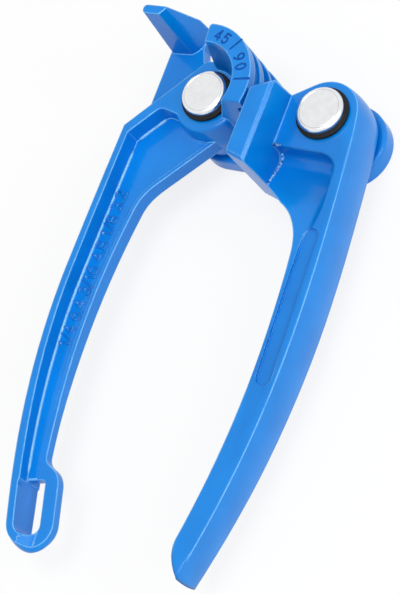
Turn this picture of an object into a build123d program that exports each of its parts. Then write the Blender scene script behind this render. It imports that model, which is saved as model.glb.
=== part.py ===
from build123d import *
import math
import os

# Driving dimensions in millimetres. The origin is on the form pivot, at the underside of the rear link.
# +X points from the form pivot to the shoe pivot, +Z along the pivots towards the pin heads.

# Pivots and the stack along them
pin_spacing = 38.1
pin_radius = 4.0
pin_clearance = 0.05
axial_play = 0.05
link_thickness = 6.5
washer_thickness = 0.45
washer_radius = 8.0
casting_height = 16.2
former_height = 26.5
ring_thickness = 1.15
ring_radius = 7.85
ring_rounding = 0.3
head_radius = 6.5
head_height = 2.25
head_rounding = 0.8

# Rear link and the clips in its back
link_radius = 11.9
link_rounding = 1.2
link_chamfer = 0.5
clip_pocket_radius = 7.6
clip_pocket_depth = 2.2
clip_thickness = 0.8
clip_groove_depth = 0.25
clip_width = 1.6
clip_gap = 2.0
clip_lug_radius = 1.1
clip_lug_hole = 0.5
pin_end_chamfer = 0.4
pin_end_length = 1.0

# Tubes: outside diameters and groove centre levels, from the dial side to the link side
tube_diameters = (3.2, 4.8, 6.4)
groove_levels = (21.6, 14.9, 7.9)
groove_clearance = 0.15
groove_gap = 1.1
former_radius = 18.1

# Former and dial
dial_inner_radius = 12.5
dial_foot_radius = 8.8
dial_end = 94.0
dial_drop = 4.5
dial_rounding = 1.0
dial_edge = 0.8
former_start = -45.0
former_drop = 7.2

# Form handle: length from the pivot to the end of the loop
handle_length = 136.2

# Form handle: boss, shoulder and rim
boss_radius = 10.7
boss_draft = 0.9
boss_rounding = 1.2
boss_foot = 1.8
foot_sink = 0.1
rim_reach = 24.1
rim_width = 2.1
rim_end_width = 2.3
rim_lean = 1.0
rim_round_angle = 140.0
shoulder_drop = 12.4
shoulder_width = 3.0
shoulder_length = 11.8
pocket_angle = 225.0
pocket_corner = 2.6
ledge_length = 30.5
ledge_rounding = 1.5
bend_start = 57.0

# Form handle: web, from the boss down the inner edge to the neck of the loop
crotch_angle = -69.5
crotch_slope = 48.9
crotch_line = 19.5
crotch_reach = 13.65
crotch_drop = 35.0
waist_reach = 15.5
waist_drop = 66.0
neck_reach = 10.9
neck_rise = 25.8
neck_drop = handle_length - neck_rise
web_head_thickness = 4.0
web_end_thickness = 3.0
lip_width = 1.3
lip_height = 0.35

# Form handle: hanging loop
loop_angle = 17.0
loop_half_width = 6.5
loop_straight = 9.3
loop_side = 10.7
loop_crown = 55.0
loop_slot_width = 6.5
loop_slot_length = 16.0
loop_slot_back = 4.6
loop_slot_corner = 1.2
rim_overlap = 0.3

# Flange under the tube and the hook that holds the tube to the former, as plan corners
flange_thickness = 4.45
flange_corners = ((-6.2, 9.1), (-14.2, 16.0), (-16.0, 20.0), (-15.9, 26.3), (-26.9, 26.3), (-26.6, -6.0))
hook_foot = ((-26.9, 17.5), (-19.3, 18.0), (-16.6, 20.2), (-15.9, 26.3), (-26.9, 26.3))
hook_knee = ((-26.5, 17.9), (-19.4, 18.3), (-17.0, 20.5), (-16.2, 26.1), (-26.4, 26.0))
hook_cap = ((-25.7, 18.9), (-19.8, 19.0), (-18.1, 21.1), (-18.1, 21.7), (-25.7, 21.6))
knee_height = 6.9
hook_rounding = 1.2
hook_bends = (5.0, 5.0, 1.5)

# Shoe handle: head
shoe_boss_radius = 10.1
block_width = 6.2
block_length = 20.8
block_bottom = -19.5
block_draft = 0.9
block_slant = 3.0
block_chamfer = 0.8
heel_drop = 2.0
wall_angle = 12.0
wall_bulge = 0.9
wall_root = 1.0
wall_rounding = 2.5
wall_rounding_angle = 60.0
flank_reach = 12.1
flank_drop = 15.0

# Shoe handle: crook and grip
crook_radius = 18.6
crook_angle = 57.0
crook_drop = 41.2
grip_reach = 14.8
grip_depth = 7.6
grip_bend_start = 60.0
grip_bend_radius = 292.0
grip_inner_start = 70.0
grip_inner_radius = 271.0
grip_tip = 132.0
tip_start = 122.5
tip_slope = -45.0
tip_cut_slope = -55.0
tip_clear = 3.0
tip_reach = 10.0

# Shoe handle: pocket under the boss and recess in the grip
pocket_depth = 6.9
pocket_rise = 0.1
pocket_rim = 2.2
pocket_drop = 11.2
pocket_end = 40.0
pocket_lean = 1.0
pocket_rounding = 6.0
pocket_foot = 3.0
recess_width = 4.6
recess_depth = 0.8
recess_reach = 9.6
recess_lean = 1.1
recess_top = 35.3
recess_bottom = 75.7

# Half heights of the castings along Y
web_heights = (
    (-14.0, web_head_thickness / 2),
    (-85.0, web_end_thickness / 2),
    (-handle_length, web_end_thickness / 2),
)
lip_heights = (
    (-14.0, web_head_thickness / 2 + lip_height),
    (-85.0, web_end_thickness / 2 + lip_height),
    (-neck_drop, web_end_thickness / 2 - lip_height),
)
rim_heights = (
    (-14.0, casting_height / 2),
    (-85.0, 6.6),
    (18.0 - handle_length, 5.4),
    (5.0 - handle_length, 5.0),
    (-4.0 - handle_length, 4.4),
)
rim_fade = (-10.0, -2.5)
grip_heights = ((-40.0, casting_height / 2), (-80.0, 7.1), (-4.0 - grip_tip, 5.4))
head_limit = 60.0
side_limit = 150.0

# Levels along the pivots
casting_base = link_thickness + washer_thickness + axial_play
boss_face = casting_base + casting_height
mid_plane = casting_base + casting_height / 2
former_top = casting_base + former_height
head_base = boss_face + axial_play + ring_thickness
flange_top = casting_base + flange_thickness
shoe_face = former_radius + groove_gap
wall_foot = shoe_face + block_width + block_draft
form_pivot = (0.0, 0.0)
shoe_pivot = (pin_spacing, 0.0)
bore_radius = pin_radius + pin_clearance


def polar(radius, angle, centre=form_pivot):
    turn = math.radians(angle)
    return (centre[0] + radius * math.cos(turn), centre[1] + radius * math.sin(turn))


def tangent_point(start, centre, radius, side):
    """Point where a line from start touches a circle; side is +1 or -1."""
    dx, dy = start[0] - centre[0], start[1] - centre[1]
    away = math.degrees(math.atan2(dy, dx))
    opening = math.degrees(math.acos(radius / math.hypot(dx, dy)))
    return polar(radius, away + side * opening, centre)


def along(start, end, distance, offset=0.0):
    """Point a distance along the line from start to end, moved to its right by offset."""
    length = math.hypot(end[0] - start[0], end[1] - start[1])
    ux, uy = (end[0] - start[0]) / length, (end[1] - start[1]) / length
    return (start[0] + ux * distance + uy * offset, start[1] + uy * distance - ux * offset)


def slab(sketch, low, high):
    return extrude(Plane.XY.offset(low) * sketch, amount=high - low)


def polygon(*points):
    return make_face(Polyline(*points, close=True))


def disc(radius, low, high, centre=form_pivot):
    return slab(Pos(*centre) * Circle(radius), low, high)


def form_boss():
    """Round boss, widest at the parting plane, with soft edges."""
    side = [(boss_radius, casting_base), (boss_radius + boss_draft, mid_plane), (boss_radius, boss_face)]
    half = polygon((0, casting_base), *side, (0, boss_face))
    for corner in (side[0], side[2]):
        half = fillet(half.vertices().sort_by_distance(corner)[0], boss_rounding)
    return revolve(Plane.XZ * half, Axis.Z)


def boss_flare(web_plan):
    """Hollow round at the foot of the boss, where it stands on the web."""
    level = web_head_thickness / 2 - foot_sink
    wide = boss_radius + boss_foot
    half = Pos(wide / 2, mid_plane) * Rectangle(wide, 2 * (level + boss_foot))
    for side in (-1, 1):
        half -= Pos(wide, mid_plane + side * (level + boss_foot)) * Circle(boss_foot)
    return revolve(Plane.XZ * half, Axis.Z) & slab(web_plan, casting_base, boss_face)


def side_prism(heights, less=0.0):
    """Solid between two mirrored side curves, level from the head to the first (y, half height) station."""

    def side(sign):
        points = [(y, mid_plane + sign * (half - less)) for y, half in heights]
        last = (points[-1][0] - points[-2][0], points[-1][1] - points[-2][1])
        return [Line((head_limit, points[0][1]), points[0]), Spline(*points, tangents=[(-1, 0), last])]

    upper, lower = side(1), side(-1)
    ends = [Line(upper[0] @ 0, lower[0] @ 0), Line(upper[1] @ 1, lower[1] @ 1)]
    return extrude(Plane.YZ * make_face([*upper, *lower, *ends]), amount=side_limit, both=True)


def rise(plan, heights):
    """The part of an upright prism over a plan that lies between the side curves."""
    return slab(plan, 0, former_top) & side_prism(heights)


def sector(inner, outer, start, end):
    """Flat ring sector about the form pivot."""
    arcs = [CenterArc(form_pivot, radius, start, end - start) for radius in (inner, outer)]
    sides = [Line(arcs[0] @ at, arcs[1] @ at) for at in (0, 1)]
    return make_face([*arcs, *sides])


def former():
    """Grooved sector about the form pivot: solid below the boss face, an arc wall with the dial above it."""
    plan = sector(boss_radius / 2, former_radius, former_start, dial_end)
    dial = fillet(plan.vertices().sort_by_distance(polar(former_radius, dial_end))[0], dial_rounding)
    hollow = polygon(
        (0, boss_face), (dial_foot_radius, boss_face), (dial_inner_radius, former_top), (0, former_top)
    )
    body = slab(plan, casting_base, boss_face)
    body += slab(dial, mid_plane, former_top) - revolve(Plane.XZ * hollow, Axis.Z)

    # Drafted front end with a soft top edge
    brow = (-dial_drop, former_top)
    far = 2 * former_radius
    front = polygon(brow, (far, former_top), (far, casting_base), (-former_drop, casting_base))
    front = fillet(front.vertices().sort_by_distance(brow)[0], dial_edge)
    body &= extrude(Plane.YZ * front, amount=far, both=True)

    for diameter, level in zip(tube_diameters, groove_levels):
        width = diameter + 2 * groove_clearance
        tube = Pos(shoe_face - diameter / 2, casting_base + level)
        groove = tube * Circle(width / 2) + tube * Pos(width / 2, 0) * Rectangle(width, width)
        body -= revolve(Plane.XZ * groove, Axis.Z)
    return body


def hook():
    """Buttress post that leans back from the tube, on the flange, with rounded sides."""

    def section(corners, bend, level):
        plan = polygon(*corners)
        plan = fillet(plan.vertices().sort_by(Axis.X)[:2], hook_rounding)
        return Plane.XY.offset(level) * fillet(plan.vertices().sort_by_distance(corners[2])[0], bend)

    post = slab(section(hook_foot, hook_bends[0], 0), casting_base, flange_top)
    levels = (flange_top, flange_top + knee_height, former_top)
    sections = list(zip((hook_foot, hook_knee, hook_cap), hook_bends, levels))
    for below, above in zip(sections, sections[1:]):
        post += loft([section(*below), section(*above)], ruled=True)
    return post


def web_edge(inset):
    """Inner edge of the form handle from the neck up to the boss, moved into the web by inset."""
    points = [(crotch_reach, crotch_drop), (waist_reach, waist_drop), (neck_reach, neck_drop)]
    side = ThreePointArc(*[(-reach - inset, -drop) for reach, drop in reversed(points)])
    boss_end = polar(boss_radius + boss_draft, crotch_angle)
    far = polar(crotch_line, 180 + crotch_slope, boss_end)
    line = Line(along(boss_end, far, crotch_line, inset), along(boss_end, far, 0, inset))
    crotch = Spline(side @ 1, line @ 0, tangents=[side % 1, line % 0])
    return [side, crotch, line]


def outer_edge():
    """Outer edge of the form handle: straight from the shoulder, bent, straight and round at the loop."""
    lean = math.tan(math.radians(rim_lean))
    turn = math.radians(loop_angle)
    loop_drop = loop_straight * math.cos(turn) + loop_half_width * (1 - math.sin(turn))
    bend_drop = handle_length - bend_start - loop_drop
    bend_radius = bend_drop / (math.sin(turn) + math.sin(math.radians(rim_lean)))
    bend = (-rim_reach - lean * (bend_start - shoulder_drop), -bend_start)
    straight = Line((-rim_reach, -shoulder_drop), bend)
    arc = JernArc(bend, straight % 1, bend_radius, loop_angle + rim_lean)
    loop = Line(arc @ 1, arc @ 1 + (arc % 1) * loop_straight)
    return [straight, arc, loop]


def rim_end():
    """Solid that lets the rim run out into the web at the end of the loop."""
    tall, loop_half, thin = casting_height / 2, rim_heights[2][1], web_end_thickness / 2 - lip_height
    start, end = rim_fade

    def side(sign):
        fade = Spline((start, sign * loop_half), (end, sign * thin), tangents=[(1, 0), (1, 0)])
        return [Polyline((-2 * rim_reach, sign * tall), (start, sign * tall), fade @ 0), fade]

    upper, lower = side(1), side(-1)
    ends = [Line(upper[0] @ 0, lower[0] @ 0), Line(upper[1] @ 1, lower[1] @ 1)]
    profile = Pos(0, mid_plane) * make_face([*upper, *lower, *ends])
    return extrude(Plane.XZ * profile, amount=side_limit, both=True)


def form_handle():
    shoulder = (-rim_reach, -shoulder_drop)
    touch = tangent_point(shoulder, form_pivot, boss_radius, -1)
    outer = outer_edge()
    heading = outer[2] % 1
    inward = Vector(-heading.Y, heading.X)
    loop_start = outer[2] @ 1
    slot_centre = loop_start + inward * (rim_end_width + loop_slot_width / 2) - heading * loop_slot_back
    slot_run = (loop_slot_length - loop_slot_width) / 2

    # Web with the loop at its end
    cap = JernArc(loop_start, heading, loop_half_width, 180)
    right_side = Line(cap @ 1, cap @ 1 - heading * loop_side)
    crown = JernArc(right_side @ 1, -heading, loop_half_width, loop_crown)
    edge = web_edge(0)
    neck = Spline(crown @ 1, edge[0] @ 0, tangents=[crown % 1, edge[0] % 0])
    head = Polyline(edge[2] @ 1, form_pivot, touch, shoulder)
    web_plan = make_face([*outer, cap, right_side, crown, neck, *edge, head])

    # Raised lip along the inner edge
    inset = web_edge(lip_width)
    lip_ends = [Line(edge[0] @ 0, inset[0] @ 0), Line(edge[2] @ 1, inset[2] @ 1)]
    lip_plan = make_face([*edge, *inset, *lip_ends])

    # Rim along the outer edge, round to the end of the loop
    rim_start = (rim_width - rim_reach, -shoulder_drop)
    rim_bend = outer[0] @ 1 + Vector(rim_width, 0)
    rim_loop = slot_centre - inward * (loop_slot_width / 2 - rim_overlap)
    rim_straight = Line(rim_start, rim_bend)
    rim_side = Spline(rim_bend, rim_loop, tangents=[rim_straight % 1, heading])
    rim_round = JernArc(loop_start, heading, loop_half_width, rim_round_angle)
    rim_close = Polyline(rim_round @ 1, slot_centre + heading * slot_run, rim_loop)
    rim_plan = make_face([*outer, rim_round, rim_close, rim_side, rim_straight, Line(shoulder, rim_start)])

    # Solid shoulder between the rim and the boss, beside the pocket, with a ledge up to the former
    pocket_top = along(shoulder, touch, shoulder_length, shoulder_width)
    pocket_side = (rim_start[0], along(shoulder, touch, 0, shoulder_width)[1])
    boss_side = polar(boss_radius - boss_rounding, pocket_angle)
    corner = (-rim_reach, pocket_side[1])
    ledge = along(shoulder, touch, ledge_length)
    ledge_side = [shoulder, ledge, (0, ledge[1])]
    wall_plan = polygon(*ledge_side, form_pivot, boss_side, pocket_top, pocket_side, corner)
    for point, radius in ((pocket_top, pocket_corner), (ledge, ledge_rounding)):
        wall_plan = fillet(wall_plan.vertices().sort_by_distance(point)[0], radius)

    casting = rise(web_plan, web_heights)
    casting += rise(lip_plan, lip_heights)
    casting += rise(rim_plan, rim_heights) & rim_end()
    casting += slab(wall_plan, casting_base, boss_face)
    casting += form_boss()
    casting += boss_flare(web_plan)
    flange_start = along(shoulder, touch, shoulder_length, shoulder_width / 2)
    casting += slab(polygon(shoulder, flange_start, form_pivot, *flange_corners), casting_base, flange_top)
    casting += former()
    casting += hook()

    slot_turn = math.degrees(math.atan2(heading.Y, heading.X))
    slot_place = Pos(slot_centre.X, slot_centre.Y) * Rot(Z=slot_turn)
    round_end = loop_slot_width / 2
    slot = Pos(-round_end / 2, 0) * Rectangle(loop_slot_length - round_end, loop_slot_width)
    slot = fillet(slot.vertices().group_by(Axis.X)[0], loop_slot_corner)
    slot += Pos(slot_run, 0) * Circle(round_end)
    casting -= slab(slot_place * slot, 0, former_top)
    return casting - disc(bore_radius, 0, former_top)


def shoe_outline():
    """Plan of the shoe handle, the path of its bulged outer wall and the point at its tip."""
    x = shoe_pivot[0]
    down = (0, -1)
    block_top = block_bottom + block_length
    corner = (wall_foot, block_top + block_slant)
    touch = tangent_point(corner, shoe_pivot, shoe_boss_radius, -1)
    touch_angle = math.degrees(math.atan2(touch[1], touch[0] - x))
    crest = CenterArc(shoe_pivot, shoe_boss_radius, touch_angle, wall_angle - touch_angle)
    bend = (x + grip_reach, -grip_bend_start)
    flank = Spline(crest @ 1, (x + flank_reach, -flank_drop), bend, tangents=[crest % 1, down])

    def outer_arc(drop):
        turn = math.degrees(math.asin((drop - grip_bend_start) / grip_bend_radius))
        return JernArc(bend, down, grip_bend_radius, -turn)

    outer = outer_arc(grip_tip)
    inner_bend = (bend[0] - grip_depth, -grip_inner_start)
    inner_angle = math.degrees(math.asin((tip_start - grip_inner_start) / grip_inner_radius))
    inner = JernArc(inner_bend, down, grip_inner_radius, -inner_angle)
    tip = Spline(inner @ 1, outer @ 1, tangents=[inner % 1, polar(1, tip_slope)])
    crook_turn = math.degrees(math.asin((grip_inner_start - crook_drop) / grip_inner_radius))
    grip = JernArc(inner_bend, (0, 1), grip_inner_radius, crook_turn)
    crook = JernArc(grip @ 1, grip % 1, crook_radius, crook_angle)
    heel = (wall_foot, block_bottom - heel_drop)
    head = Polyline(crook @ 1, heel, (shoe_face, block_bottom), (shoe_face, block_top), corner, touch)
    plan = make_face([crest, flank, outer, tip, inner, grip, crook, head])
    return plan, Wire([crest, flank, outer_arc(grip_tip + tip_clear)]), outer @ 1


def shoe_block():
    """Upright block whose flat face presses the tube into the former."""
    block_top = block_bottom + block_length

    def section(width):
        right = shoe_face + width
        share = width / (block_width + block_draft)
        low, high = block_bottom - heel_drop * share, block_top + block_slant * share
        return polygon((shoe_face, block_bottom), (right, low), (right, high), (shoe_face, block_top))

    foot = Plane.XY.offset(mid_plane) * section(block_width + block_draft)
    waist = Plane.XY.offset(boss_face) * section(block_width + block_draft)
    top = Plane.XY.offset(former_top) * section(block_width)
    block = loft([waist, top], ruled=True)
    block = chamfer(block.faces().sort_by(Axis.Z)[-1].edges().sort_by(Axis.X)[1:], block_chamfer)
    return block + loft([foot, waist], ruled=True)


def pocket():
    """Hollow below the boss, whose floor sweeps up into the top of the grip."""
    side = shoe_pivot[0] + flank_reach - pocket_rim
    top_corner = (side - pocket_lean, -pocket_drop)
    low_corner = (side + pocket_lean, -pocket_end)
    plan = polygon((wall_foot, -pocket_drop), top_corner, low_corner, (wall_foot, -pocket_end))
    plan = fillet(plan.vertices().sort_by_distance(top_corner)[0], pocket_rounding)
    start = (-pocket_drop, boss_face - pocket_depth)
    floor = Spline(start, (-pocket_end, boss_face), tangents=[(-1, pocket_rise), (-1, 0)])
    rest = Polyline(start, (-pocket_drop, former_top), (-pocket_end, former_top), (-pocket_end, boss_face))
    hollow = slab(plan, 0, former_top) & extrude(Plane.YZ * make_face([floor, rest]), amount=side_limit)
    foot = hollow.faces().sort_by(Axis.Z)[0].edges().sort_by(Axis.X)[1:].sort_by(Axis.Y)[1:]
    return fillet(foot, pocket_foot)


def recess_plan():
    """Long shallow recess in the top of the grip."""
    length = math.hypot(recess_lean, recess_bottom - recess_top)
    turn = 90 + math.degrees(math.atan2(recess_lean, recess_bottom - recess_top))
    centre = (shoe_pivot[0] + recess_reach + recess_lean / 2, -(recess_top + recess_bottom) / 2)
    return Pos(*centre) * Rot(Z=turn) * SlotCenterToCenter(length, recess_width)


def shoe_handle():
    plan, wall_path, tip = shoe_outline()
    half = casting_height / 2
    body = slab(plan, 0, former_top)
    heading = wall_path % 0
    outward = Vector(0, 0, 1).cross(heading)
    start = Plane(wall_path @ 0 + Vector(0, 0, mid_plane), x_dir=outward, z_dir=heading)
    arc = ThreePointArc((0, -half), (wall_bulge, 0), (0, half))
    back = Polyline((0, half), (-wall_root, half), (-wall_root, -half), (0, -half))
    wall = sweep(start * make_face([arc, back]), Pos(0, 0, mid_plane) * wall_path)
    cut_end = polar(tip_reach, tip_cut_slope, (tip.X, tip.Y))
    cut_start = polar(-tip_reach, tip_cut_slope, (tip.X, tip.Y))
    cut_side = [along(cut_start, cut_end, distance, tip_reach) for distance in (2 * tip_reach, 0)]
    wall -= slab(polygon(cut_start, cut_end, *cut_side), 0, former_top)
    body = (body + wall) & side_prism(grip_heights)
    round_off = JernArc((-wall_rounding, -half), (1, 0), wall_rounding, wall_rounding_angle)
    clear, below = 2 * wall_bulge, -half - wall_bulge
    far_side = [(clear, -half + wall_rounding), (clear, below), (-wall_rounding, below)]
    outside = Polyline(round_off @ 1, *far_side, round_off @ 0)
    body -= sweep(start * make_face([round_off, outside]), Pos(0, 0, mid_plane) * wall_path)
    body -= slab(recess_plan(), mid_plane, former_top) - side_prism(grip_heights, recess_depth)
    body -= pocket()
    body += shoe_block()
    return body - disc(bore_radius, 0, former_top, shoe_pivot)


def rear_link():
    """Plate with round ends about both pivots; the clips sit in pockets in its back."""
    plan = Pos(pin_spacing / 2, 0) * SlotCenterToCenter(pin_spacing, 2 * link_radius)
    plate = slab(plan, 0, link_thickness)
    plate = fillet(plate.faces().sort_by(Axis.Z)[-1].edges(), link_rounding)
    plate = chamfer(plate.faces().sort_by(Axis.Z)[0].edges(), link_chamfer)
    for pivot in (form_pivot, shoe_pivot):
        plate -= disc(bore_radius, 0, link_thickness, pivot)
        plate -= disc(clip_pocket_radius, 0, clip_pocket_depth, pivot)
    return plate


def pivot_pin(pivot):
    """Headed pin with a groove for its clip at the far end."""
    groove_top = clip_pocket_depth
    groove_low = clip_pocket_depth - clip_thickness
    end = groove_low - pin_end_length
    groove = pin_radius - clip_groove_depth
    top = head_base + head_height
    profile = Polyline(
        (0, end), (pin_radius - pin_end_chamfer, end), (pin_radius, end + pin_end_chamfer),
        (pin_radius, groove_low), (groove, groove_low), (groove, groove_top), (pin_radius, groove_top),
        (pin_radius, head_base), (head_radius, head_base), (head_radius, top), (0, top), close=True,
    )
    face = make_face(profile)
    face = fillet(face.vertices().sort_by_distance((head_radius, top))[0], head_rounding)
    return Pos(*pivot) * revolve(Plane.XZ * face, Axis.Z)


def flat_ring(inner, outer, low, high, pivot):
    return disc(outer, low, high, pivot) - disc(inner, low, high, pivot)


def head_ring(pivot):
    """Black ring under a pin head, with a soft outer edge."""
    ring = flat_ring(bore_radius, ring_radius, boss_face + axial_play, head_base, pivot)
    outer = ring.edges().filter_by(GeomType.CIRCLE).sort_by(SortBy.RADIUS)[-2:]
    return fillet(outer, ring_rounding)


def circlip(pivot):
    """Snap ring with two lugs, open on the side away from the other pivot."""
    groove = pin_radius - clip_groove_depth
    outer = groove + clip_width
    plan = Circle(outer) - Circle(groove)
    plan -= Pos(0, -outer) * Rectangle(clip_gap, 2 * outer)
    lug_place = (clip_gap / 2 + clip_lug_radius, -outer)
    for side in (-1, 1):
        plan += Pos(side * lug_place[0], lug_place[1]) * Circle(clip_lug_radius)
    for side in (-1, 1):
        plan -= Pos(side * lug_place[0], lug_place[1]) * Circle(clip_lug_hole)
    return slab(Pos(*pivot) * plan, clip_pocket_depth - clip_thickness, clip_pocket_depth)


def thrust_washer(pivot):
    return flat_ring(bore_radius, washer_radius, link_thickness, link_thickness + washer_thickness, pivot)


parts = {"form_handle": form_handle(), "shoe_handle": shoe_handle(), "rear_link": rear_link()}
for name, pivot in (("form", form_pivot), ("shoe", shoe_pivot)):
    parts[name + "_pivot_pin"] = pivot_pin(pivot)
    parts[name + "_head_ring"] = head_ring(pivot)
    parts[name + "_thrust_washer"] = thrust_washer(pivot)
    parts[name + "_circlip"] = circlip(pivot)

os.makedirs("parts", exist_ok=True)
for name, solid in parts.items():
    export_step(solid, os.path.join("parts", name + ".step"))
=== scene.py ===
import math

import bmesh
import bpy
import numpy as np
from mathutils import Euler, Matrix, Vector
from mathutils.bvhtree import BVHTree


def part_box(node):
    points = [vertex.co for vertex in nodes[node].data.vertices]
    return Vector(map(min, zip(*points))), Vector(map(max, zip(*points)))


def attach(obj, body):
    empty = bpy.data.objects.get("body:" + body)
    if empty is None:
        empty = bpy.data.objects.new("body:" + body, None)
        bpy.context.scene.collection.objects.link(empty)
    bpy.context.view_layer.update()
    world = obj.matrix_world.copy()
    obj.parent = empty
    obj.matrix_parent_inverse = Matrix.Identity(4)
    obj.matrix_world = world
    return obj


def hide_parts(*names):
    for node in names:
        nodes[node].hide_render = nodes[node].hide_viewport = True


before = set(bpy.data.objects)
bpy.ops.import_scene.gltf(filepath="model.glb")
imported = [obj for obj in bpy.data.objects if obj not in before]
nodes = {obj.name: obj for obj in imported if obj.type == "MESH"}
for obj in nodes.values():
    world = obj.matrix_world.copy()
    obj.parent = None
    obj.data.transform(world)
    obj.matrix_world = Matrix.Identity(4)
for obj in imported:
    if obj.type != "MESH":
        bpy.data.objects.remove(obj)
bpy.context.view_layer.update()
print("frame loaded:", sorted(nodes))


# Node helpers: each one adds a node to a material's tree and gives back its output
def newMaterial(name):
    mat = bpy.data.materials.new(name)
    mat.use_nodes = True
    tree = mat.node_tree
    tree.nodes.clear()
    out = tree.nodes.new("ShaderNodeOutputMaterial")
    shader = tree.nodes.new("ShaderNodeBsdfPrincipled")
    tree.links.new(shader.outputs["BSDF"], out.inputs["Surface"])
    coords = tree.nodes.new("ShaderNodeTexCoord")
    return mat, tree, shader, coords.outputs["Object"]


def feed(tree, value, socket):
    # Another node's output is linked, a number or a row of numbers is written in
    if isinstance(value, bpy.types.NodeSocket):
        tree.links.new(value, socket)
    else:
        socket.default_value = value


def setSockets(shader, values):
    for name, value in values.items():
        shader.inputs[name].default_value = value


def addNoise(tree, coords, scale, detail, roughness=0.5):
    noise = tree.nodes.new("ShaderNodeTexNoise")
    noise.inputs["Scale"].default_value = scale
    noise.inputs["Detail"].default_value = detail
    noise.inputs["Roughness"].default_value = roughness
    tree.links.new(coords, noise.inputs["Vector"])
    return noise.outputs["Fac"]


def addRamp(tree, factor, spread, colours):
    # First colour up to the low end of the spread, second colour from its high end on
    ramp = tree.nodes.new("ShaderNodeValToRGB")
    for element, at, colour in zip(ramp.color_ramp.elements, spread, colours):
        element.position = at
        element.color = (*colour, 1)
    tree.links.new(factor, ramp.inputs["Fac"])
    return ramp.outputs["Color"]


def addRange(tree, factor, low, high, fromLow=0.0, fromHigh=1.0):
    span = tree.nodes.new("ShaderNodeMapRange")
    span.inputs["From Min"].default_value = fromLow
    span.inputs["From Max"].default_value = fromHigh
    span.inputs["To Min"].default_value = low
    span.inputs["To Max"].default_value = high
    tree.links.new(factor, span.inputs["Value"])
    return span.outputs["Result"]


def addMath(tree, operation, first, second):
    node = tree.nodes.new("ShaderNodeMath")
    node.operation = operation
    tree.links.new(first, node.inputs[0])
    feed(tree, second, node.inputs[1])
    return node.outputs["Value"]


def addVector(tree, operation, first, second=(0, 0, 0)):
    node = tree.nodes.new("ShaderNodeVectorMath")
    node.operation = operation
    tree.links.new(first, node.inputs[0])
    feed(tree, second, node.inputs[1])
    return node.outputs["Value" if operation in ("LENGTH", "DOT_PRODUCT") else "Vector"]


def addMix(tree, factor, first, second):
    mix = tree.nodes.new("ShaderNodeMix")
    mix.data_type = "RGBA"
    tree.links.new(factor, mix.inputs["Factor"])
    tree.links.new(first, mix.inputs["A"])
    tree.links.new(second, mix.inputs["B"])
    return mix.outputs["Result"]


def addBump(tree, height, strength, distance, under=None):
    bump = tree.nodes.new("ShaderNodeBump")
    bump.inputs["Strength"].default_value = strength
    bump.inputs["Distance"].default_value = distance
    tree.links.new(height, bump.inputs["Height"])
    if under is not None:
        tree.links.new(under, bump.inputs["Normal"])
    return bump.outputs["Normal"]


enamelFinish = {
    "thin": (0.0, 0.200, 0.65),
    "full": (0.0, 0.225, 0.71),
    "driftScale": 90,
    "edgeHighlightThin": (0.20, 0.56, 1.0),     # paler edges: painted highlight, and where the film draws thin over an edge
    "edgeHighlightFull": (0.11, 0.45, 0.97),
    "edgeScale": 240,
    "filmDetail": 3,
    "filmSpread": (0.35, 0.65),        # noise between which the film's colour changes
    "edgeTurn": (0.985, 0.90),         # cosine of soft to true normal: tint starts, tint is full
    "edgeRadius": 0.0007,
    "edgeSamples": 8,
    "roughness": (0.30, 0.38),
    "hazeScale": 260,
    "hazeDetail": 2,
    "peelScale": 420,
    "peelDetail": 2,
    "peelBump": (0.08, 0.0004),        # strength and height
    "sockets": {
        "Coat Weight": 0.33,
        "Coat Roughness": 0.13,
        "Coat IOR": 1.7,
        "Specular IOR Level": 0.1,
    },
}
# Paler blue on the foot rounds and the loop's flash: painted highlight
footHighlightFinish = {
    **enamelFinish,
    "thin": (0.24, 0.58, 1.0),
    "full": (0.36, 0.68, 1.0),
    "driftScale": 60,
}
# Darker blue on the web's raised characters: painted shade round them
markShadeFinish = {
    **enamelFinish,
    "thin": (0.0, 0.15, 0.53),
    "full": (0.0, 0.18, 0.61),
    "edgeHighlightThin": (0.10, 0.36, 0.88),
    "edgeHighlightFull": (0.0, 0.16, 0.56),
}
# Egg-shaped zones in which edges get no paler tint (no thin film, no painted highlight): the dial's
# inner wall, the pocket under the shoe's boss, the recess along the shoe's grip and the grip's tip.
# The pocket and the tip have wider rounds, and all but the tip are painted a deeper blue as painted
# shade
dialZone = {
    "centre": (0.0035, 0.0105, 0.0283),
    "axes": (0.0075, 0.0045, 0.0050),
    "edgeRadius": 0.0007,
    "paintedShade": ((0.0, 0.105, 0.42), (0.0, 0.125, 0.48)),
}
pocketZone = {
    "centre": (0.038, -0.013, 0.020),
    "axes": (0.012, 0.012, 0.012),
    "edgeRadius": 0.0018,
    "paintedShade": ((0.0, 0.175, 0.58), (0.0, 0.195, 0.63)),
}
recessZone = {
    "centre": (0.0482, -0.0555, 0.022),
    "axes": (0.0032, 0.040, 0.010),
    "edgeRadius": 0.0003,
    "paintedShade": ((0.0, 0.175, 0.59), (0.0, 0.197, 0.645)),
}
tipZone = {
    "centre": (0.036, -0.136, 0.015),
    "axes": (0.025, 0.011, 0.030),
    "edgeRadius": 0.0016,
}
zoneFade = (0.85, 1.15)                # a zone fades out between these shares of its axes


def addZone(tree, coords, s):
    # 0 inside a zone, 1 outside it, by the distance from its centre in shares of its axes
    offset = addVector(tree, "SUBTRACT", coords, s["centre"])
    share = addVector(tree, "LENGTH", addVector(tree, "DIVIDE", offset, s["axes"]))
    return addRange(tree, share, 0.0, 1.0, *zoneFade)


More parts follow.
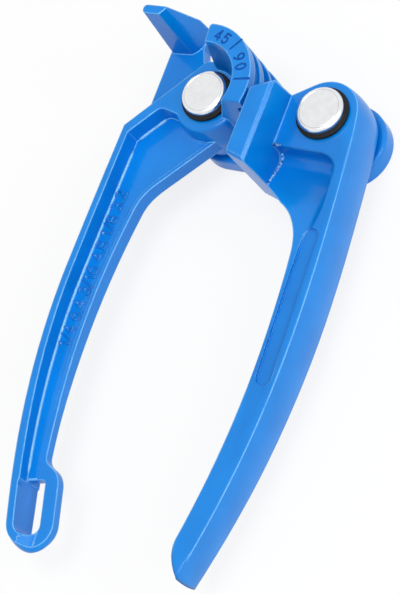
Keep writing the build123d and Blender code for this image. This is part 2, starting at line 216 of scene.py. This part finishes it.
def blueEnamel(name, s, zones=()):
    # Baked enamel on a casting: the film's thickness drifts, and edges are soft. Edges are paler, a
    # painted highlight and where the film draws thin, and zones can be painted a deeper blue as
    # painted shade
    mat, tree, shader, coords = newMaterial(name)
    edge = tree.nodes.new("ShaderNodeBevel")
    edge.samples = s["edgeSamples"]
    surface = tree.nodes.new("ShaderNodeNewGeometry")
    turn = addVector(tree, "DOT_PRODUCT", edge.outputs["Normal"], surface.outputs["Normal"])
    onEdge = addRange(tree, turn, 0.0, 1.0, *s["edgeTurn"])
    drift = addNoise(tree, coords, s["driftScale"], s["filmDetail"])
    film = addRamp(tree, drift, s["filmSpread"], (s["thin"], s["full"]))
    radius = s["edgeRadius"]
    for zone in zones:
        outside = addZone(tree, coords, zone)
        share = addRange(tree, outside, zone["edgeRadius"] / s["edgeRadius"], 1.0)
        radius = addMath(tree, "MULTIPLY", share, radius)
        onEdge = addMath(tree, "MULTIPLY", onEdge, outside)
        # A zone's deeper blue is painted shade
        if "paintedShade" in zone:
            paintedShade = addRamp(tree, drift, s["filmSpread"], zone["paintedShade"])
            film = addMix(tree, outside, paintedShade, film)
    feed(tree, radius, edge.inputs["Radius"])
    # Paler edges: painted highlight along the edges, partly the film drawing thin
    edgeFilmNoise = addNoise(tree, coords, s["edgeScale"], s["filmDetail"])
    thinFilmAndHighlight = addRamp(tree, edgeFilmNoise, s["filmSpread"], (s["edgeHighlightFull"], s["edgeHighlightThin"]))
    tree.links.new(addMix(tree, onEdge, film, thinFilmAndHighlight), shader.inputs["Base Color"])
    haze = addNoise(tree, coords, s["hazeScale"], s["hazeDetail"])
    tree.links.new(addRange(tree, haze, *s["roughness"]), shader.inputs["Roughness"])
    peel = addNoise(tree, coords, s["peelScale"], s["peelDetail"])
    normal = addBump(tree, peel, *s["peelBump"], edge.outputs["Normal"])
    tree.links.new(normal, shader.inputs["Normal"])
    tree.links.new(normal, shader.inputs["Coat Normal"])
    setSockets(shader, s["sockets"])
    return mat


rubberFinish = {
    "colours": ((0.007, 0.007, 0.008), (0.018, 0.016, 0.015)),
    "spread": (0.3, 0.7),
    "scale": 1800,
    "detail": 3,
    "roughness": (0.32, 0.5),
    "bump": (0.15, 0.0002),
    "sockets": {"Specular IOR Level": 0.15},
}
bareFinish = {
    "colours": ((0.42, 0.42, 0.43), (0.62, 0.62, 0.63)),
    "spread": (0.3, 0.7),
    "scale": 900,
    "detail": 4,
    "roughness": (0.28, 0.45),
    "sockets": {"Metallic": 1.0},
}
# Darker blue on the dial's digits and ticks: painted shade of the engraving
engravingShadeFinish = {
    "colours": ((0.003, 0.060, 0.30), (0.005, 0.095, 0.42)),
    "spread": (0.35, 0.65),
    "scale": 1500,
    "detail": 3,
    "roughness": (0.5, 0.7),
    "sockets": {"Specular IOR Level": 0.1},
}
# Enamel over rough casting flash: darker in the pits as painted shade, pale on the crests as
# painted highlight
flashShadeHighlightFinish = {
    "colours": ((0.0, 0.12, 0.50), (0.36, 0.68, 1.0)),
    "spread": (0.42, 0.56),
    "scale": 1400,
    "detail": 2,
    "roughness": (0.12, 0.3),
    "bump": (0.5, 0.0003),
}


def grainFinish(name, s):
    # One fine grain moves the colour, the roughness and, where a bump is given, the surface
    mat, tree, shader, coords = newMaterial(name)
    grain = addNoise(tree, coords, s["scale"], s["detail"])
    tree.links.new(addRamp(tree, grain, s["spread"], s["colours"]), shader.inputs["Base Color"])
    tree.links.new(addRange(tree, grain, *s["roughness"]), shader.inputs["Roughness"])
    if "bump" in s:
        tree.links.new(addBump(tree, grain, *s["bump"]), shader.inputs["Normal"])
    setSockets(shader, s.get("sockets", {}))
    return mat


def dress(node, mat):
    nodes[node].data.materials.clear()
    nodes[node].data.materials.append(mat)


enamel = blueEnamel("blueEnamel", enamelFinish)
formEnamel = blueEnamel("formEnamel", enamelFinish, (dialZone,))
shoeEnamel = blueEnamel("shoeEnamel", enamelFinish, (pocketZone, recessZone, tipZone))
# Paler blue on the foot rounds and loop flash is painted highlight
footHighlightEnamel = blueEnamel("footHighlightEnamel", footHighlightFinish)
# Darker blue on the web's characters is painted shade
markShadeEnamel = blueEnamel("markShadeEnamel", markShadeFinish)
bare = grainFinish("bareSteel", bareFinish)
rubber = grainFinish("blackRubber", rubberFinish)
# Darker dial digits and ticks are painted shade of the engraving
engravingShade = grainFinish("paintedEngravingShade", engravingShadeFinish)
# Flash: painted shade in its pits, painted highlight on its crests
flash = grainFinish("flashShadeHighlightEnamel", flashShadeHighlightFinish)
dress("form_handle", formEnamel)
dress("rear_link", enamel)
dress("shoe_handle", shoeEnamel)
for side in ("form", "shoe"):
    dress(side + "_head_ring", rubber)
    dress(side + "_thrust_washer", bare)
    dress(side + "_circlip", bare)
print("finishes on the solids done")


meshSettings = {
    "merge": 1e-7,                     # points nearer than this become one
    "sliver": 1e-8,
    "sharpAngle": 35,
}


def gridFaces(rows, columns, closed):
    # Quads between neighbouring rows and columns; columns go round, rows too where closed
    span = np.arange(rows - (not closed)), np.arange(columns)
    row, column = np.meshgrid(*span, indexing="ij")
    nextRow, nextColumn = (row + 1) % rows, (column + 1) % columns
    corners = [row * columns + column, nextRow * columns + column]
    corners += [nextRow * columns + nextColumn, row * columns + nextColumn]
    return np.stack(corners, axis=-1).reshape(-1, 4)


def addPiece(name, shells, mat, body):
    # One piece from several shells of points and faces; doubled points at poles are merged
    points = np.vstack([shell[0] for shell in shells])
    starts = np.cumsum([0] + [len(shell[0]) for shell in shells[:-1]])
    faces = np.vstack([shell[1] + start for shell, start in zip(shells, starts)])
    mesh = bpy.data.meshes.new(name)
    mesh.from_pydata(points.tolist(), [], faces.tolist())
    merged = bmesh.new()
    merged.from_mesh(mesh)
    bmesh.ops.remove_doubles(merged, verts=merged.verts, dist=meshSettings["merge"])
    bmesh.ops.dissolve_degenerate(merged, edges=merged.edges, dist=meshSettings["sliver"])
    bmesh.ops.recalc_face_normals(merged, faces=merged.faces)
    merged.to_mesh(mesh)
    merged.free()
    mesh.polygons.foreach_set("use_smooth", np.ones(len(mesh.polygons), dtype=bool))
    mesh.set_sharp_from_angle(angle=math.radians(meshSettings["sharpAngle"]))
    mesh.materials.append(mat)
    piece = bpy.data.objects.new(name, mesh)
    bpy.context.scene.collection.objects.link(piece)
    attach(piece, body)
    return piece


def skinOf(node):
    # A casting's faces, to feel for its levels and walls with rays
    mesh = nodes[node].data
    corners = [vertex.co for vertex in mesh.vertices]
    return BVHTree.FromPolygons(corners, [face.vertices for face in mesh.polygons])


def levelsAt(skin, plan, start=1.0):
    # Height of the skin at each point of a plan, felt from above, or from below by a negative start
    down = Vector((0, 0, -start))
    return np.array([skin.ray_cast(Vector((x, y, start)), down)[0].z for x, y in plan])


# Digits as strokes, for a height of 1: a line is two ends, an arc is centre, radii, first and last
# angle
digitStrokes = {
    "0": [("arc", (0.30, 0.50), (0.27, 0.50), 0, 360)],
    "1": [("line", (0.33, 0), (0.33, 1)), ("line", (0.33, 1), (0.14, 0.80))],
    "2": [("arc", (0.29, 0.72), (0.27, 0.28), 165, -38), ("line", (0.50, 0.55), (0.03, 0)),
          ("line", (0.03, 0), (0.57, 0))],
    "3": [("arc", (0.28, 0.76), (0.25, 0.24), 155, -90),
          ("arc", (0.28, 0.26), (0.29, 0.26), 90, -155)],
    "4": [("line", (0.44, 0), (0.44, 1)), ("line", (0.44, 1), (0, 0.28)),
          ("line", (0, 0.28), (0.60, 0.28))],
    "5": [("line", (0.54, 1), (0.12, 1)), ("line", (0.12, 1), (0.07, 0.55)),
          ("arc", (0.28, 0.32), (0.29, 0.32), 137, -150)],
    "6": [("arc", (0.30, 0.31), (0.27, 0.31), 0, 360),
          ("arc", (0.62, 0.31), (0.59, 0.69), 180, 100)],
    "8": [("arc", (0.30, 0.75), (0.23, 0.25), 0, 360),
          ("arc", (0.30, 0.26), (0.28, 0.26), 0, 360)],
    "9": [("arc", (0.30, 0.69), (0.27, 0.31), 0, 360),
          ("arc", (-0.02, 0.69), (0.59, 0.69), 0, -80)],
    "/": [("line", (0.10, -0.05), (0.50, 1.05))],
    ".": [("line", (0.28, 0.03), (0.32, 0.03))],
}


def isLoop(stroke):
    return stroke[0] == "arc" and stroke[4] - stroke[3] == 360


def strokePath(stroke, steps):
    # Line: first end plus a share of the run. Arc: centre plus the radii times cosine and sine of
    # the angle
    share = np.linspace(0, 1, steps)[:, None]
    if stroke[0] == "line":
        first, last = np.array(stroke[1:])
        return first + (last - first) * share
    centre, radii, start, end = stroke[1:]
    turn = np.radians(start + (end - start) * share)
    return np.array(centre) + np.array(radii) * np.hstack([np.cos(turn), np.sin(turn)])


def strokeTube(path, closed, s):
    # Bead along a path: half width times cosine across the stroke, rise times sine above it and
    # sink times sine below. Open ends shrink to a pole as a quarter circle does
    if closed:
        path = path[:-1]
        ahead = np.roll(path, -1, axis=0) - np.roll(path, 1, axis=0)
        size = np.ones(len(path))
    else:
        ahead = np.gradient(path, axis=0)
    ahead = ahead / np.linalg.norm(ahead, axis=1)[:, None]
    if not closed:
        caps = s["capSteps"]
        swing = np.radians(np.linspace(0, 90, caps, endpoint=False))[:, None]
        head = path[0] - ahead[0] * s["halfWidth"] * np.cos(swing)
        tail = path[-1] + ahead[-1] * s["halfWidth"] * np.cos(swing[::-1])
        grow = np.sin(swing[:, 0])
        size = np.concatenate([grow, np.ones(len(path)), grow[::-1]])
        path = np.vstack([head, path, tail])
        ahead = np.vstack([np.repeat(ahead[:1], caps, 0), ahead, np.repeat(ahead[-1:], caps, 0)])
    across = np.column_stack([-ahead[:, 1], ahead[:, 0]])
    turn = np.linspace(0, 2 * np.pi, s["around"], endpoint=False)
    out = s["halfWidth"] * size[:, None] * np.cos(turn)
    plan = path[:, None, :] + across[:, None, :] * out[..., None]
    lift = np.where(np.sin(turn) > 0, s["rise"], s["sink"]) * np.sin(turn) * size[:, None]
    points = np.concatenate([plan, lift[..., None]], axis=2)
    return points.reshape(-1, 3), gridFaces(len(path), s["around"], closed)


dialSettings = {
    "digits": (("4", 79.0), ("5", 68.0), ("9", 36.3), ("0", 24.0)),   # degrees round the pivot
    "foot": 0.0136,                    # radius of the digits' foot line
    "height": 0.0030,
    "middle": 0.30,                    # middle of a digit, as a share of its height
    "ticks": ((53.0, 0.0138, 0.0179), (9.4, 0.0134, 0.0180)),   # degrees, inner and outer radius
    "halfWidth": 0.00032,
    "rise": 0.00003,
    "sink": 0.0002,
    "steps": 28,
    "around": 12,
    "capSteps": 5,
}


def makeDialMarks(s):
    # Digits and ticks on an arc about the pivot, feet towards it, level with the dial's top
    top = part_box("form_handle")[1].z
    tubes = []
    for digit, angle in s["digits"]:
        for stroke in digitStrokes[digit]:
            path = strokePath(stroke, s["steps"]) * s["height"]
            points, faces = strokeTube(path, isLoop(stroke), s)
            tubes.append((ontoArc(points, angle, top, s), faces))
    at = s["middle"] * s["height"]
    for angle, inner, outer in s["ticks"]:
        tick = ("line", (at, inner - s["foot"]), (at, outer - s["foot"]))
        points, faces = strokeTube(strokePath(tick, s["steps"]), False, s)
        tubes.append((ontoArc(points, angle, top, s), faces))
    addPiece("dial_marks", tubes, engravingShade, "form_body")


def ontoArc(points, angle, top, s):
    # Along the line of digits turns clockwise about the pivot, up a digit goes outwards
    radius = s["foot"] + points[:, 1]
    middleRadius = s["foot"] + s["height"] / 2
    turn = np.radians(angle) - (points[:, 0] - s["middle"] * s["height"]) / middleRadius
    return np.column_stack([radius * np.cos(turn), radius * np.sin(turn), top + points[:, 2]])


webSettings = {
    "row": "1/4 6.4 3/16 4.8 1/8 3.2",   # tube sizes in inches and millimetres
    "middle": (-0.0199, -0.0548),
    "lean": 90.6,                      # reading direction, degrees from +X
    "height": 0.0036,
    "width": 0.6,                      # of a digit, as a share of its height
    "pitch": 0.00245,
    "narrow": {".": 0.0013, " ": 0.0017, "1": 0.0019, "/": 0.0021},
    "halfWidth": 0.00036,
    "rise": 0.00040,
    "sink": 0.0004,
    "steps": 20,
    "around": 12,
    "capSteps": 4,
}


def makeWebMarks(s):
    # Raised tube sizes, cast on the web: digits are laid along a line, and each is set on the level
    # that the web has there
    skin = skinOf("form_handle")
    turn = math.radians(s["lean"])
    cosine, sine = math.cos(turn), math.sin(turn)
    pitches = [s["narrow"].get(mark, s["pitch"]) for mark in s["row"]]
    at = -sum(pitches) / 2
    tubes = []
    for mark, pitch in zip(s["row"], pitches):
        under = (s["middle"][0] + at * cosine, s["middle"][1] + at * sine)
        level = levelsAt(skin, [under])[0]
        for stroke in digitStrokes.get(mark, []):
            path = strokePath(stroke, s["steps"]) * s["height"]
            path = path + (at + (pitch - s["width"] * s["height"]) / 2, -s["height"] / 2)
            points, faces = strokeTube(path, isLoop(stroke), s)
            x = s["middle"][0] + points[:, 0] * cosine - points[:, 1] * sine
            y = s["middle"][1] + points[:, 0] * sine + points[:, 1] * cosine
            tubes.append((np.column_stack([x, y, level + points[:, 2]]), faces))
        at += pitch
    addPiece("web_marks", tubes, markShadeEnamel, "form_body")


footSettings = {
    # points over the web and the direction to the wall beside them: along the rim, then along the
    # shoulder
    "runs": (
        (((-0.0200, -0.0165), (-0.0200, -0.0750), (-0.0178, -0.0950), (-0.0145, -0.1120),
          (-0.0132, -0.1175)), (-1.0, 0.0)),
        (((-0.0200, -0.0150), (-0.0136, -0.0073)), (-0.7715, 0.6362)),
    ),
    "radius": 0.0006,
    "sink": 0.0001,
    "probe": 0.0006,                   # height above the web at which the wall is felt for
    "taper": 6,                        # larger is a shorter taper at the ends
    "steps": 120,
    "arcSteps": 9,
}


def makeFootRounds(s):
    # Hollow rounds where the walls stand on the web
    skin = skinOf("form_handle")
    shells = [footRound(skin, np.array(line), toward, s) for line, toward in s["runs"]]
    addPiece("web_foot_rounds", shells, footHighlightEnamel, "form_body")


def taperedEnds(steps, taper):
    # Full size along a run, and down to nothing at its two ends by the root of the share times
    # one less the share
    share = np.linspace(0, 1, steps)
    return np.minimum(1, taper * np.sqrt(share * (1 - share)))[:, None]


def footRound(skin, line, toward, s):
    # A quarter circle carried along the foot of a wall: radius less radius times cosine out from
    # the wall, radius less radius times sine above the web, closed behind by a corner sunk into
    # the casting
    reach = np.concatenate([[0], np.cumsum(np.linalg.norm(np.diff(line, axis=0), axis=1))])
    at = np.linspace(0, reach[-1], s["steps"])
    over = np.column_stack([np.interp(at, reach, line[:, axis]) for axis in (0, 1)])
    web = levelsAt(skin, over)
    wall = Vector((*toward, 0))
    felt = [skin.ray_cast(Vector((x, y, z + s["probe"])), wall)[0] for (x, y), z in zip(over, web)]
    foot = np.array([(point.x, point.y, z) for point, z in zip(felt, web)])
    bend = np.radians(np.linspace(0, 90, s["arcSteps"]))
    arc = s["radius"] * np.column_stack([1 - np.cos(bend), 1 - np.sin(bend)])
    behind = [(s["radius"], -s["sink"]), (-s["sink"], -s["sink"]), (-s["sink"], s["radius"])]
    profile = np.vstack([arc, behind])
    size = taperedEnds(s["steps"], s["taper"])
    points = foot[:, None] - np.array(wall) * (size * profile[:, 0])[..., None]
    points[..., 2] += size * profile[:, 1]
    return points.reshape(-1, 3), gridFaces(s["steps"], len(profile), False)


noseSettings = {
    "centre": (-0.00671, -0.12970),
    "radius": 0.0065,
    "angles": (-180, -5),              # round the loop's lower end, degrees from +X
    "swell": 0.0012,
    "sink": 0.0001,
    "back": 0.0003,                    # depth of the inner wall, which is inside the casting
    "backShare": 0.97,                 # of the wall's half height, at which the inner wall ends
    "steps": 96,
    "levels": 15,
}


def makeLoopNose(s):
    # The loop's end swells to its parting line: the radius grows by the swell times one less the
    # squared share of the wall's half height, and by a sine along the arc
    skin = skinOf("form_handle")
    turn = np.radians(np.linspace(*s["angles"], s["steps"]))
    out = np.column_stack([np.cos(turn), np.sin(turn)])
    inside = np.array(s["centre"]) + out * (s["radius"] - s["back"])
    top, low = levelsAt(skin, inside), levelsAt(skin, inside, -1.0)
    share = np.append(np.linspace(-1, 1, s["levels"]), (s["backShare"], -s["backShare"]))
    along = np.sin(np.linspace(0, np.pi, s["steps"]))[:, None]
    bulge = s["swell"] * along * (1 - share ** 2) - s["sink"]
    bulge[:, -2:] = -s["back"]
    plan = np.array(s["centre"]) + out[:, None] * (s["radius"] + bulge)[..., None]
    level = (top + low)[:, None] / 2 + (top - low)[:, None] / 2 * share
    points = np.concatenate([plan, level[..., None]], axis=2)
    points[[0, -1]] = points[[0, -1]].mean(axis=1, keepdims=True)   # both ends close to a point
    shell = points.reshape(-1, 3), gridFaces(s["steps"], len(share), False)
    addPiece("loop_nose", [shell], enamel, "form_body")


makeDialMarks(dialSettings)
makeWebMarks(webSettings)
makeFootRounds(footSettings)
makeLoopNose(noseSettings)
print("dial, web marks, foot rounds and loop nose done")


pinFinish = {
    "dull": (0.76, 0.765, 0.78),
    "bright": (0.83, 0.835, 0.845),
    "spread": (0.3, 0.7),
    "scuffScale": 420,
    "scuffDetail": 4,
    "scuffRoughness": 0.6,
    "roughness": (0.16, 0.24),
    "ringScale": 600,
    "ringWander": 1.5,
    "ringDetail": 3,
    "ringTone": (0.8, 1.2),            # the rings scale the scuffs' tone between these
    "ringBump": (0.04, 0.0001),        # strength and height
    # dark tone of the turned line: painted shade in its groove
    "lineShadeTone": (0.22, 0.22, 0.24),
    "lineRadius": (0.00578, 0.00590, 0.00602),   # inner side, middle and outer side of the line
}
pinShape = {
    "shaft": 0.0040,
    "chamfer": 0.0004,
    "groove": (0.00375, 0.0014, 0.0022),   # radius and levels of the clip's groove
    "head": 0.00695,
    "edge": 0.0010,
    "line": (0.00575, 0.00008, 0.00005),   # radius, half width and depth of the turned line
    "edgeSteps": 16,
    "around": 160,
}


def turnedSteel(name, centre, s):
    # Faced pin: fine rings about the pin's own axis, light scuffs over them, and one turned line,
    # darkened with painted shade
    mat, tree, shader, coords = newMaterial(name)
    shift = tree.nodes.new("ShaderNodeMapping")
    shift.inputs["Location"].default_value = (-centre.x, -centre.y, 0)
    tree.links.new(coords, shift.inputs["Vector"])
    rings = tree.nodes.new("ShaderNodeTexWave")
    rings.wave_type = "RINGS"
    rings.rings_direction = "Z"
    rings.inputs["Scale"].default_value = s["ringScale"]
    rings.inputs["Distortion"].default_value = s["ringWander"]
    rings.inputs["Detail"].default_value = s["ringDetail"]
    tree.links.new(shift.outputs["Vector"], rings.inputs["Vector"])
    ring = rings.outputs["Fac"]
    scuff = addNoise(tree, coords, s["scuffScale"], s["scuffDetail"], s["scuffRoughness"])
    tone = addMath(tree, "MULTIPLY", scuff, addRange(tree, ring, *s["ringTone"]))
    faced = addRamp(tree, tone, s["spread"], (s["dull"], s["bright"]))
    flat = addVector(tree, "MULTIPLY", shift.outputs["Vector"], (1, 1, 0))
    fromAxis = addVector(tree, "LENGTH", flat)
    inner, lineMiddle, outer = s["lineRadius"]
    rising = addRange(tree, fromAxis, 0.0, 1.0, inner, lineMiddle)
    falling = addRange(tree, fromAxis, 1.0, 0.0, lineMiddle, outer)
    # Darkened turned line: painted shade in the groove
    line = addRamp(tree, scuff, (0.0, 1.0), (s["lineShadeTone"], s["dull"]))
    onLine = addMath(tree, "MULTIPLY", rising, falling)
    tree.links.new(addMix(tree, onLine, faced, line), shader.inputs["Base Color"])
    tree.links.new(addRange(tree, scuff, *s["roughness"]), shader.inputs["Roughness"])
    tree.links.new(addBump(tree, ring, *s["ringBump"]), shader.inputs["Normal"])
    shader.inputs["Metallic"].default_value = 1.0
    return mat


def makePin(side, s):
    # Lathe: a profile of radius and level turned about the pin's axis, radius times cosine and sine
    low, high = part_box(side + "_pivot_pin")
    centre = (low + high) / 2
    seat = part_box(side + "_head_ring")[1].z
    shaft, chamfer, head, edge = s["shaft"], s["chamfer"], s["head"], s["edge"]
    neck, grooveLow, grooveTop = s["groove"]
    line, half, depth = s["line"]
    stem = [(0, low.z), (shaft - chamfer, low.z), (shaft, low.z + chamfer), (shaft, grooveLow),
            (neck, grooveLow), (neck, grooveTop), (shaft, grooveTop), (shaft, seat), (head, seat)]
    bend = np.radians(np.linspace(0, 90, s["edgeSteps"]))
    top = high.z
    crown = np.column_stack([head - edge + edge * np.cos(bend), top - edge + edge * np.sin(bend)])
    face = [(line + 2 * half, top), (line + half, top), (line, top - depth), (line - half, top),
            (line - 2 * half, top), (line / 2, top), (0, top)]
    profile = np.vstack([stem, crown, face])
    turn = np.linspace(0, 2 * np.pi, s["around"], endpoint=False)
    x = centre.x + profile[:, :1] * np.cos(turn)
    y = centre.y + profile[:, :1] * np.sin(turn)
    z = np.repeat(profile[:, 1:], s["around"], axis=1)
    points = np.stack([x, y, z], axis=-1).reshape(-1, 3)
    shell = points, gridFaces(len(profile), s["around"], False)
    steel = turnedSteel(side + "PinSteel", centre, pinFinish)
    pin = addPiece(side + "_turned_pin", [shell], steel, "link_body")
    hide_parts(side + "_pivot_pin")


# Start, end and bow of each run: down the pocket's floor to the heel of the block and along the
# pocket's top, then along the top of the loop's slot and in two places below it
shoeFlash = {
    "runs": (
        ((0.0274, -0.0114), (0.02635, -0.0213), 0.6),
        ((0.0288, -0.0109), (0.0264, -0.0110), 0.0),
    ),
    "radius": 0.00033,
    "lumps": ((41, 3, 0.30), (97, 5, 0.35), (163, 2, 0.25)),   # waves along, round, share of radius
    "taper": 12,
    "steps": 220,
    "around": 14,
}
loopFlash = {
    "runs": (
        ((-0.0139, -0.1183), (-0.0110, -0.1174), 0.0),
        ((-0.0079, -0.1349), (-0.0073, -0.1338), 0.0),
        ((-0.0041, -0.1341), (-0.0043, -0.1353), 0.0),
    ),
    "radius": 0.00028,
    "lumps": ((7, 1, 0.30), (13, 2, 0.20)),
    "taper": 12,
    "steps": 40,
    "around": 14,
}


def makeFlash(name, node, body, mat, s):
    # Rough beads of casting flash on a casting's face
    skin = skinOf(node)
    beads = [flashBead(skin, *run, s) for run in s["runs"]]
    addPiece(name, beads, mat, body)


def flashBead(skin, start, end, bow, s):
    # A circle carried along the face, its radius lumpy by products of sines along the bead and
    # cosines round it
    share = np.linspace(0, 1, s["steps"])
    x = end[0] + (start[0] - end[0]) * (1 - share) ** (1 + bow)
    y = start[1] + (end[1] - start[1]) * share
    path = np.column_stack([x, y, levelsAt(skin, zip(x, y))])
    ahead = np.gradient(path, axis=0)
    ahead = ahead / np.linalg.norm(ahead, axis=1)[:, None]
    across = np.cross(ahead, (0, 0, 1))
    across = across / np.linalg.norm(across, axis=1)[:, None]
    above = np.cross(across, ahead)
    turn = np.linspace(0, 2 * np.pi, s["around"], endpoint=False)
    size = np.ones((s["steps"], s["around"]))
    for along, about, depth in s["lumps"]:
        waves = np.sin(along * share * np.pi)[:, None]
        size += depth * waves * np.cos(about * turn + along * share[:, None])
    size *= s["radius"] * taperedEnds(s["steps"], s["taper"])
    points = path[:, None] + across[:, None] * (size * np.cos(turn))[..., None]
    points += above[:, None] * (size * np.sin(turn))[..., None]
    return points.reshape(-1, 3), gridFaces(s["steps"], s["around"], False)


for side in ("form", "shoe"):
    makePin(side, pinShape)
makeFlash("flash_seam", "shoe_handle", "shoe_body", flash, shoeFlash)
makeFlash("loop_flash", "form_handle", "form_body", footHighlightEnamel, loopFlash)
print("pins and casting flash done")


# White floor and surroundings, a bright softbox overhead, a broad fill and a small light on the
# right
studioSettings = {
    "floorSize": 6.0,
    "floorDrop": 0.0003,
    "floorColour": (0.9, 0.9, 0.9),
    "floorSockets": {"Roughness": 0.9, "Specular IOR Level": 0.1},
    "floorGlow": 0.82,                 # share of plain white in the floor as it is seen
    "surroundStrength": 0.5,
    "aim": (0.01, -0.05, 0.0),
}
softboxes = {
    "keyLight": {"at": (0.12, -0.08, 1.0), "energy": 4.55, "size": 0.5},
    "fillLight": {"at": (1.1, -0.5, 0.7), "energy": 4.5, "size": 1.2},
    "edgeLight": {"at": (0.82, 0.19, 0.55), "energy": 1.8, "size": 0.30},
}


def addSeenDirectly(tree):
    # 1 for rays from the camera, a mirror or glass, and 0 for rays that light the object
    path = tree.nodes.new("ShaderNodeLightPath").outputs
    mirrored = addMath(tree, "MAXIMUM", path["Is Camera Ray"], path["Is Glossy Ray"])
    return addMath(tree, "MAXIMUM", mirrored, path["Is Transmission Ray"])


def makeFloor(s):
    half, level = s["floorSize"] / 2, -s["floorDrop"]
    mesh = bpy.data.meshes.new("floor")
    corners = [(x * half, y * half, level) for x, y in ((-1, -1), (1, -1), (1, 1), (-1, 1))]
    mesh.from_pydata(corners, [], [(0, 1, 2, 3)])
    floor = bpy.data.objects.new("floor", mesh)
    bpy.context.scene.collection.objects.link(floor)
    mat, tree, shader, _ = newMaterial("paleFloor")
    shader.inputs["Base Color"].default_value = (*s["floorColour"], 1)
    setSockets(shader, s["floorSockets"])
    glow = tree.nodes.new("ShaderNodeEmission")
    mix = tree.nodes.new("ShaderNodeMixShader")
    tree.links.new(addRange(tree, addSeenDirectly(tree), 0.0, s["floorGlow"]), mix.inputs["Fac"])
    tree.links.new(shader.outputs["BSDF"], mix.inputs[1])
    tree.links.new(glow.outputs["Emission"], mix.inputs[2])
    tree.links.new(mix.outputs["Shader"], tree.nodes["Material Output"].inputs["Surface"])
    mesh.materials.append(mat)


def makeSurround(s):
    world = bpy.data.worlds.new("studio")
    world.use_nodes = True
    tree = world.node_tree
    back = tree.nodes["Background"]
    back.inputs["Color"].default_value = (1, 1, 1, 1)
    level = addRange(tree, addSeenDirectly(tree), s["surroundStrength"], 1.0)
    tree.links.new(level, back.inputs["Strength"])
    bpy.context.scene.world = world


def addSoftbox(name, aim, s):
    light = bpy.data.lights.new(name, "AREA")
    light.energy = s["energy"]
    light.size = s["size"]
    lamp = bpy.data.objects.new(name, light)
    bpy.context.scene.collection.objects.link(lamp)
    lamp.location = s["at"]
    lamp.rotation_euler = (Vector(aim) - Vector(s["at"])).to_track_quat("-Z", "Y").to_euler()


makeFloor(studioSettings)
makeSurround(studioSettings)
for name, softbox in softboxes.items():
    addSoftbox(name, studioSettings["aim"], softbox)
print("studio done")


cameraSettings = {
    "at": (0.28909, -0.17620, 0.43068),
    "turn": (25.080, 26.180, 22.885),
    "lens": 112.12,
    "near": 0.01,
}


def makeCamera(s):
    data = bpy.data.cameras.new("camera")
    data.lens = s["lens"]
    data.clip_start = s["near"]
    camera = bpy.data.objects.new("camera", data)
    camera.location = s["at"]
    camera.rotation_euler = Euler([math.radians(a) for a in s["turn"]])
    bpy.context.scene.collection.objects.link(camera)
    bpy.context.scene.camera = camera


makeCamera(cameraSettings)
bpy.context.scene.view_settings.view_transform = "Standard"
